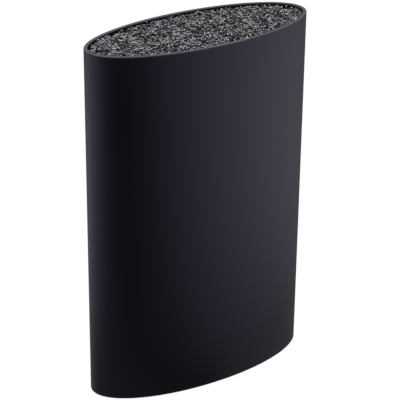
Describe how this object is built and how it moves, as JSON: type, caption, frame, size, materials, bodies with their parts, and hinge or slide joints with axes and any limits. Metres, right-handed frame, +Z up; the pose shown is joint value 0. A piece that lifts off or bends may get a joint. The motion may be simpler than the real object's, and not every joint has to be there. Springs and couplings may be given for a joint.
{
  "type": "knife block",
  "caption": "Upright oval knife block: an elliptical shell filled with vertical plastic bristles that hold blades anywhere between them.",
  "frame": {"origin": "on the table, under the middle of the oval", "axes": "+Z up, +X along the oval's long axis, +Y across it"},
  "size_m": [0.151, 0.0612, 0.23],
  "materials": {
    "shell_soft_touch": "black soft-touch coating, smooth satin-matt",
    "base_plastic": "black moulded plastic, fine spark texture",
    "screw_steel": "zinc-plated steel",
    "foot_rubber": "matt black rubber",
    "tray_plastic": "black moulded plastic",
    "root_plastic": "fused dark grey plastic",
    "bristle": "dark grey extruded filament, cut ends paler"
  },
  "bodies": {
    "shell": {"outer_shell": "shell_soft_touch", "base_plate": "base_plastic", "base_screws": "screw_steel", "foot_front_left": "foot_rubber", "foot_front_right": "foot_rubber", "foot_rear_left": "foot_rubber", "foot_rear_right": "foot_rubber"},
    "insert": {"insert_tray": "tray_plastic", "root_strip_1": "root_plastic", "root_strip_2": "root_plastic", "root_strip_3": "root_plastic", "root_strip_4": "root_plastic"},
    "front_row": {"bristle_tuft_1_1": "bristle", "bristle_tuft_1_2": "bristle", "bristle_tuft_1_3": "bristle", "bristle_tuft_1_4": "bristle"},
    "mid_front_row": {"bristle_tuft_2_1": "bristle", "bristle_tuft_2_2": "bristle", "bristle_tuft_2_3": "bristle", "bristle_tuft_2_4": "bristle", "bristle_tuft_2_5": "bristle"},
    "mid_rear_row": {"bristle_tuft_3_1": "bristle", "bristle_tuft_3_2": "bristle", "bristle_tuft_3_3": "bristle", "bristle_tuft_3_4": "bristle", "bristle_tuft_3_5": "bristle"},
    "rear_row": {"bristle_tuft_4_1": "bristle", "bristle_tuft_4_2": "bristle", "bristle_tuft_4_3": "bristle", "bristle_tuft_4_4": "bristle"}
  },
  "joints": [
    {"name": "insert_lift", "type": "slide", "parent": "shell", "child": "insert", "axis": [0, 0, 1], "range_m": [0, 0.235]},
    {"name": "front_row_bend", "type": "hinge", "parent": "insert", "child": "front_row", "pos_m": [0, -0.02107, 0.01525], "axis": [1, 0, 0], "range_deg": [-0.6, 0], "stiffness_Nm_per_rad": 1.3},
    {"name": "mid_front_row_bend", "type": "hinge", "parent": "insert", "child": "mid_front_row", "pos_m": [0, -0.00702, 0.01525], "axis": [1, 0, 0], "range_deg": [-0.6, 0.6], "stiffness_Nm_per_rad": 1.8},
    {"name": "mid_rear_row_bend", "type": "hinge", "parent": "insert", "child": "mid_rear_row", "pos_m": [0, 0.00702, 0.01525], "axis": [1, 0, 0], "range_deg": [-0.6, 0.6], "stiffness_Nm_per_rad": 1.8},
    {"name": "rear_row_bend", "type": "hinge", "parent": "insert", "child": "rear_row", "pos_m": [0, 0.02107, 0.01525], "axis": [1, 0, 0], "range_deg": [0, 0.6], "stiffness_Nm_per_rad": 1.3}
  ]
}
